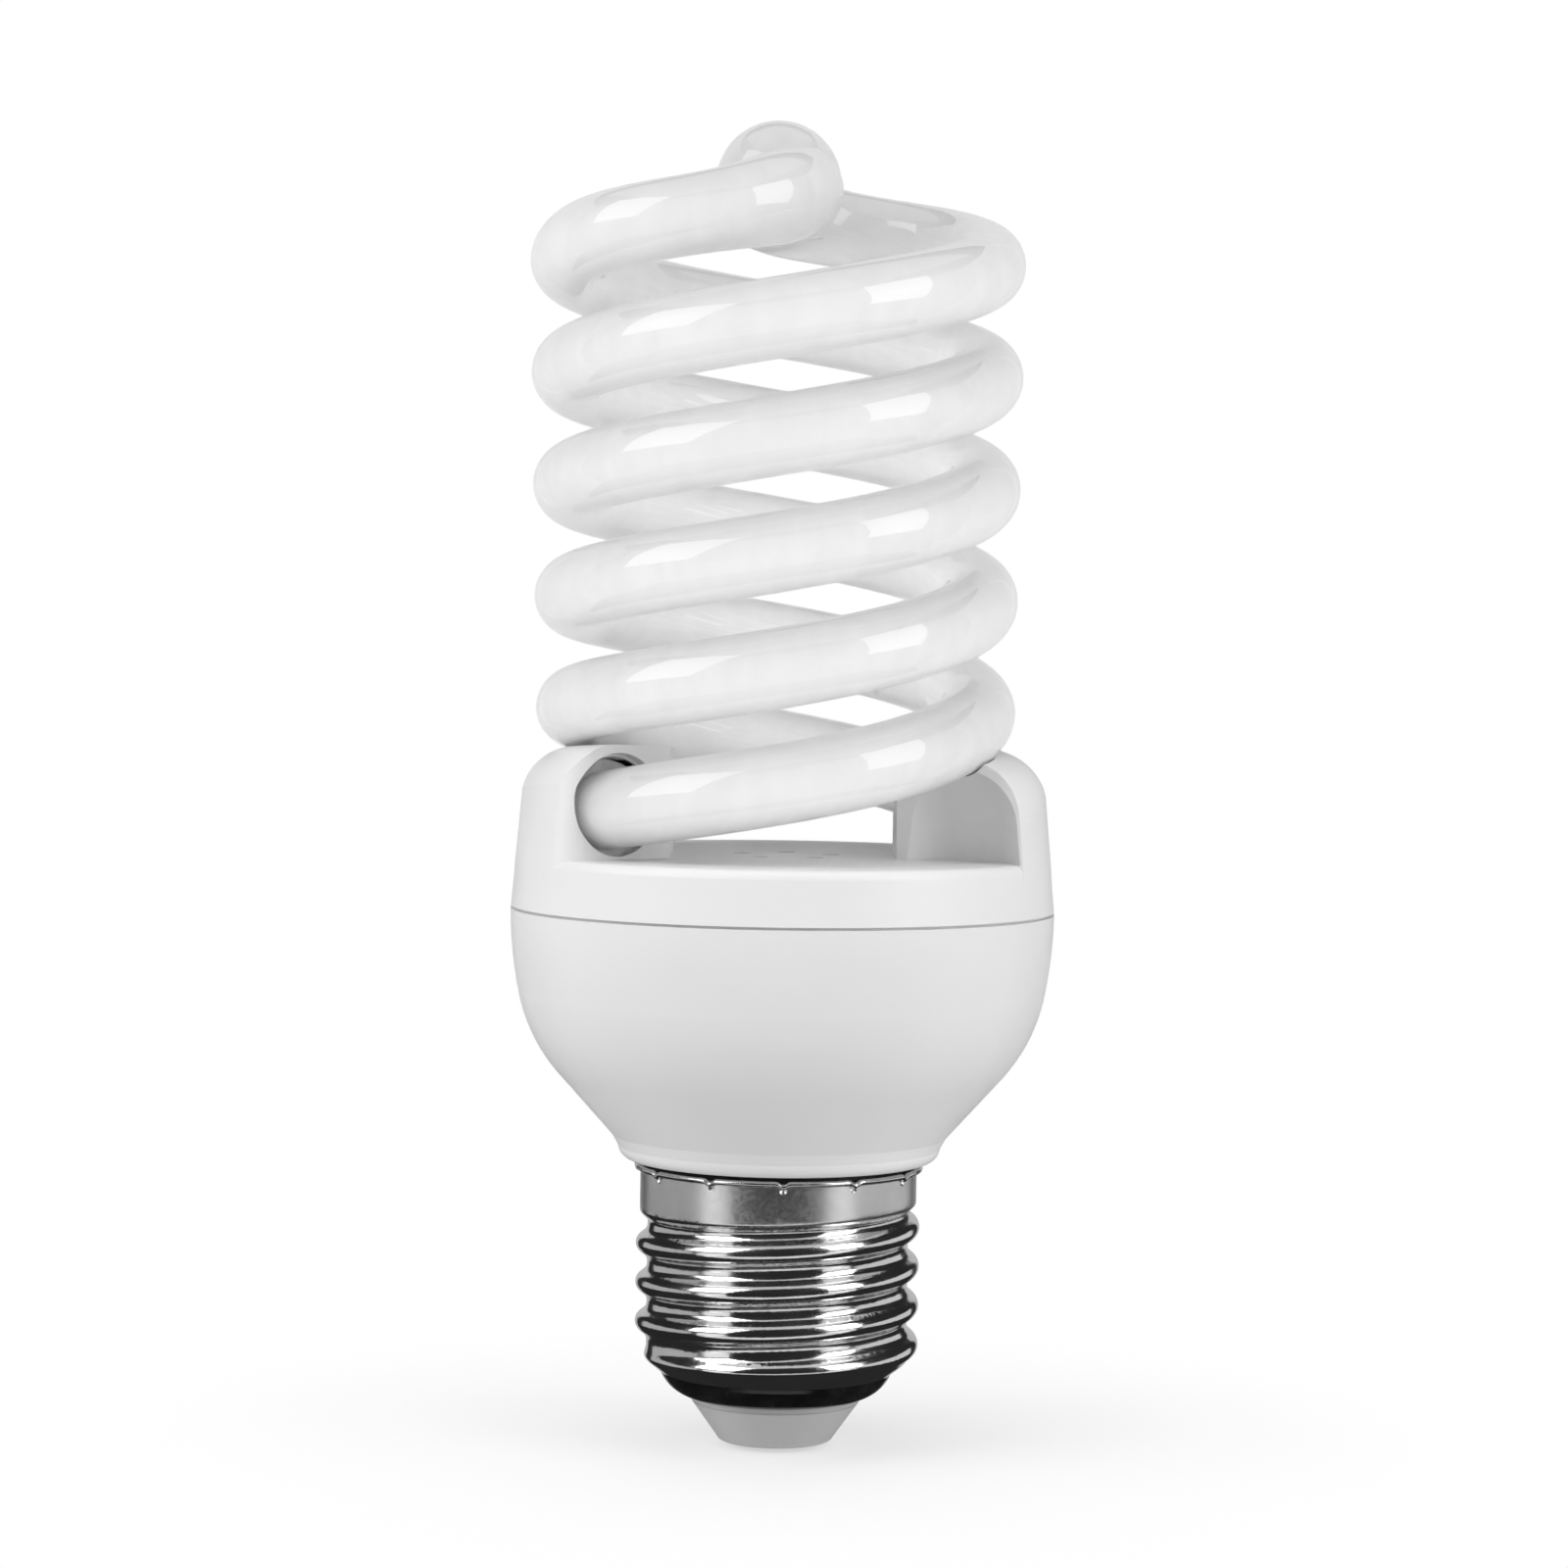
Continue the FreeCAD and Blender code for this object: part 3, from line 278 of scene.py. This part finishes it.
# the housing's neck below 26.27 mm, in the gap under the cap's rolled edge, gets a painted shade, near black, for
# the shadow there
WHITE = moulded("white_housing", grey(0.80), grey(0.775), painted_gap_shade_below=0.02627)
LOOKS = {
    "spiral_glass_tube": clear_glass(),
    "tube_cover": moulded("white_cover", grey(0.81), grey(0.785), rough=0.4),
    "ballast_housing": WHITE,
    "screw_shell": cap_metal(),
    "insulator_ring": black_gloss(),
    "insulator_nose": moulded("grey_nose", grey(0.49), grey(0.44), rough=0.55, grain=3400.0, grain_mm=0.02),
    "centre_contact": plain_piece("tinned_contact", grey(0.66), grey(0.5), 0.34, 900.0, 1.0, 0.03, worn=grey(0.8)),
    "electrolytic_capacitor": plain_piece("shrink_sleeve", grey(0.03), grey(0.018), 0.28, 300.0),
    "choke_core": plain_piece("ferrite", grey(0.09), grey(0.055), 0.62, 900.0, 0.0, 0.05, worn=grey(0.16)),
    "choke_bobbin": plain_piece("bobbin_plastic", grey(0.045), grey(0.03), 0.45, 600.0),
    "choke_winding": wound(),
    "toroid_core": plain_piece("green_ferrite", (0.05, 0.27, 0.12), (0.03, 0.2, 0.09), 0.35, 500.0),
    "toroid_windings": plain_piece("red_wire", (0.55, 0.05, 0.03), (0.42, 0.03, 0.02), 0.35, 900.0),
    "transistor_high_side": plain_piece("resin_case_1", grey(0.04), grey(0.025), 0.5, 1100.0, 0.0, 0.04),
    "transistor_low_side": plain_piece("resin_case_2", grey(0.04), grey(0.026), 0.52, 1000.0, 0.0, 0.04),
    "starting_capacitor": plain_piece("brown_dip", (0.36, 0.09, 0.03), (0.28, 0.06, 0.02), 0.22, 260.0, 0.0, 0.08),
    "blocking_capacitor": plain_piece("green_dip", (0.05, 0.22, 0.08), (0.03, 0.16, 0.06), 0.22, 260.0, 0.0, 0.08),
    "filter_inductor": plain_piece("drum_sleeve", grey(0.035), grey(0.02), 0.3, 400.0),
    "thermistor": plain_piece("ochre_lacquer", (0.42, 0.29, 0.05), (0.34, 0.22, 0.03), 0.3, 420.0, 0.0, 0.06),
    "rectifier_diodes": plain_piece("diode_resin", grey(0.045), grey(0.028), 0.48, 1400.0),
    "resistors": plain_piece("beige_lacquer", (0.62, 0.46, 0.27), (0.52, 0.37, 0.2), 0.4, 1200.0),
    "trigger_diode": plain_piece("blue_bead", (0.05, 0.15, 0.45), (0.03, 0.1, 0.35), 0.15, 1200.0),
    "fusible_resistor": plain_piece("green_grey_lacquer", (0.22, 0.34, 0.28), (0.16, 0.27, 0.22), 0.42, 900.0),
    "wire_wrap_pins": plain_piece("tinned_pin", grey(0.7), grey(0.55), 0.28, 1500.0, 1.0),
    "circuit_board": laminate(),
    "solder_joints": plain_piece("solder", grey(0.72), grey(0.58), 0.2, 1800.0, 1.0, 0.03),
    "tube_lead_wires": plain_piece("lead_wire", (0.62, 0.57, 0.52), (0.5, 0.45, 0.4), 0.3, 1800.0, 1.0),
    "live_lead": plain_piece("red_sleeve", (0.5, 0.03, 0.02), (0.4, 0.02, 0.015), 0.38, 500.0),
    "neutral_lead": plain_piece("blue_sleeve", (0.03, 0.08, 0.4), (0.02, 0.06, 0.3), 0.38, 500.0),
    "tube_cement": plain_piece("cement", grey(0.7), grey(0.58), 0.85, 700.0, 0.0, 0.2),
}
for name, obj in N.items():
    obj.data.materials.clear()
    obj.data.materials.append(LOOKS[name])

# ------------------------------------------------ coating in the glass ----
WALL = 0.0003
src = N["spiral_glass_tube"].data
bm = bmesh.new()
bm.from_mesh(src)
bmesh.ops.remove_doubles(bm, verts=bm.verts, dist=2e-6)
bmesh.ops.recalc_face_normals(bm, faces=bm.faces)
bm.normal_update()
moves = [(v, v.co - v.normal * WALL) for v in bm.verts]
for v, co in moves:
    v.co = co
for f in bm.faces:
    f.smooth = True
core_mesh = bpy.data.meshes.new("powder_coating")
bm.to_mesh(core_mesh)
bm.free()
core = bpy.data.objects.new("powder_coating", core_mesh)
scene.collection.objects.link(core)
core_mesh.materials.append(coating())
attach(core, "root")

# --------------------------------------------- rolled edge of the cap ----
rim_mesh = bpy.data.meshes.new("screw_shell_rim")
bm = bmesh.new()
rings = []
for i in range(360):
    a = math.radians(i)
    off = (i + 90.0 - 2.0 + 15.0) % 30.0 - 15.0        # degrees from the nearest nick
    nick = math.exp(-(off / 1.5) ** 2)
    ring = []
    for k in range(12):
        b = 2.0 * math.pi * k / 12
        r = 0.01300 - 0.00012 * nick + 0.00030 * math.cos(b)
        z = 0.02560 - 0.00030 * nick + 0.00028 * math.sin(b)
        ring.append(bm.verts.new((r * math.cos(a), r * math.sin(a), z)))
    rings.append(ring)
for i in range(360):
    for k in range(12):
        a, b = rings[i], rings[(i + 1) % 360]
        bm.faces.new((a[k], b[k], b[(k + 1) % 12], a[(k + 1) % 12])).smooth = True
bmesh.ops.recalc_face_normals(bm, faces=bm.faces)
bm.to_mesh(rim_mesh)
bm.free()
rim = bpy.data.objects.new("screw_shell_rim", rim_mesh)
scene.collection.objects.link(rim)
rim_mesh.materials.append(plain_piece("rolled_edge", grey(0.88), grey(0.8), 0.2, 900.0, 1.0, 0.01))
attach(rim, "root")

# -------------------------------------------------------------- stage ----
floor_mesh = bpy.data.meshes.new("floor")
bm = bmesh.new()
bmesh.ops.create_circle(bm, cap_ends=True, cap_tris=False, segments=96, radius=3.0)
bm.to_mesh(floor_mesh)
bm.free()
floor = bpy.data.objects.new("floor", floor_mesh)
floor.location = (0, 0, -0.0002)
scene.collection.objects.link(floor)
t = Tree("pale_floor")
speck = t.mix(t.band(t.noise(6.0, 3.0, 0.5), 0.3, 0.7), grey(0.93), grey(0.95))
near = t.shader(Base_Color=speck, Roughness=0.7, Specular_IOR_Level=0.2)
far = t.node("ShaderNodeEmission")
path = t.node("ShaderNodeLightPath")
t.put(far.inputs["Strength"], t.math("SUBTRACT", 1.0, t.math("MULTIPLY", path.outputs["Is Diffuse Ray"], 0.32)))
flat = t.node("ShaderNodeVectorMath", operation="LENGTH")
t.put(flat.inputs[0], t.place())
fade = t.node("ShaderNodeMixShader")
t.put(fade.inputs[0], t.band(flat.outputs["Value"], 0.006, 0.07, 0.55, 1.0))
t.put(fade.inputs[1], near.outputs[0])
t.put(fade.inputs[2], far.outputs[0])
floor_mesh.materials.append(t.finish(fade))
floor.visible_glossy = False
floor.visible_transmission = False

world = bpy.data.worlds.new("studio")
scene.world = world
world.use_nodes = True
wn = world.node_tree
wn.nodes.clear()
w_out = wn.nodes.new("ShaderNodeOutputWorld")
w_path = wn.nodes.new("ShaderNodeLightPath")


def sky(strength):
    n = wn.nodes.new("ShaderNodeBackground")
    n.inputs["Color"].default_value = (1, 1, 1, 1)
    n.inputs["Strength"].default_value = strength
    return n.outputs[0]


# the sheet behind the object is white; gloss sees a dark room, the powder in the glass a bright one
light = sky(0.022)
for kind, strength in (("Is Diffuse Ray", 0.24), ("Is Transmission Ray", 0.98), ("Is Camera Ray", 1.02)):
    m = wn.nodes.new("ShaderNodeMixShader")
    wn.links.new(w_path.outputs[kind], m.inputs[0])
    wn.links.new(light, m.inputs[1])
    wn.links.new(sky(strength), m.inputs[2])
    light = m.outputs[0]
wn.links.new(light, w_out.inputs[0])


def soft_box(name, azimuth, elevation, distance, width, height, radiance, aim=(0, 0, 0.06), gloss=True, soft=True, inside=False):
    """Area light that shines with a given radiance; azimuth from the camera, + to its right."""
    a, e = math.radians(azimuth), math.radians(elevation)
    data = bpy.data.lights.new(name, "AREA")
    data.shape = "RECTANGLE"
    data.size, data.size_y = width, height
    data.energy = radiance * math.pi * width * height
    o = bpy.data.objects.new(name, data)
    aim = Vector(aim)
    o.location = aim + Vector((math.sin(a) * math.cos(e), -math.cos(a) * math.cos(e), math.sin(e))) * distance
    o.rotation_euler = (aim - o.location).to_track_quat("-Z", "Y").to_euler()
    o.visible_camera = False
    o.visible_glossy = gloss
    o.visible_diffuse = soft
    o.visible_transmission = inside
    scene.collection.objects.link(o)
    return o


def seen_by(lamp, *names):
    """Light linking: the lamp shines on these pieces and is mirrored in them only."""
    group = bpy.data.collections.new(lamp.name + "_seen_by")
    for name in names:
        group.objects.link(N[name])
    if "screw_shell" in names:
        group.objects.link(rim)
    lamp.light_linking.receiver_collection = group


CAP = ("screw_shell", "insulator_ring", "insulator_nose", "centre_contact")
soft_box("box_left", -60, 33, 0.75, 0.50, 0.56, 3.2)
soft_box("box_right", 57, 24, 0.75, 0.40, 0.62, 3.2)
seen_by(soft_box("low_left", -54, -9, 0.75, 0.34, 0.34, 0.9), *CAP)
seen_by(soft_box("low_right", 54, -14, 0.75, 0.34, 0.22, 0.9), *CAP)
soft_box("top", 0, 88, 0.9, 1.2, 1.2, 0.6)
seen_by(soft_box("back", 180, 8, 1.4, 1.25, 1.6, 0.5), *CAP)
soft_box("back_soft", 180, 8, 1.4, 2.6, 1.8, 0.75, gloss=False)
soft_box("shell_fill", 0, 24, 1.3, 1.8, 1.2, 0.15, gloss=False)
soft_box("shell_left", -84, 0, 1.2, 1.0, 1.0, 1.75, gloss=False)
soft_box("shell_right", 84, 0, 1.2, 1.0, 1.0, 1.5, gloss=False)
# the white sheet goes right round the object, brightest behind it, and the glass mirrors it at its edges
for side in range(7):
    sheet = soft_box("sheet_%d" % side, 180 + 360 * side / 7, 0, 1.4, 1.36, 2.6, 0.78 if side in (0, 1, 6) else 0.5, soft=False)
    seen_by(sheet, "spiral_glass_tube")
seen_by(soft_box("side_left", -106, -2, 1.2, 1.6, 0.5, 0.42), *CAP)
seen_by(soft_box("side_right", 106, -2, 1.2, 1.6, 0.5, 0.62), *CAP)
soft_box("fill", 0, 12, 1.3, 1.8, 1.4, 0.30, gloss=False, inside=True)
soft_box("fill_powder", 0, 3, 1.3, 2.0, 1.3, 0.16, gloss=False, soft=False, inside=True)
soft_box("low_powder", 0, -32, 1.2, 2.2, 1.3, 1.3, gloss=False, soft=False, inside=True)
soft_box("left_powder", -95, -5, 1.2, 1.0, 1.2, 1.2, gloss=False, soft=False, inside=True)
soft_box("right_powder", 95, -5, 1.2, 1.0, 1.2, 1.2, gloss=False, soft=False, inside=True)
seen_by(soft_box("table_glow", 0, -40, 0.6, 1.7, 0.22, 0.75, soft=False), *CAP)
# light that has come through the translucent turns into the middle of the coil
for turn in range(4):
    a = math.radians(90.0 * turn)
    data = bpy.data.lights.new("coil_%d" % turn, "AREA")
    data.shape = "RECTANGLE"
    data.size, data.size_y = 0.014, 0.052
    data.energy = 1.45 * math.pi * data.size * data.size_y
    o = bpy.data.objects.new(data.name, data)
    out = Vector((math.sin(a), -math.cos(a), 0.0))
    o.location = Vector((0, 0, 0.083)) + out * 0.007
    o.rotation_euler = out.to_track_quat("-Z", "Y").to_euler()
    o.visible_camera = o.visible_glossy = o.visible_diffuse = False
    scene.collection.objects.link(o)
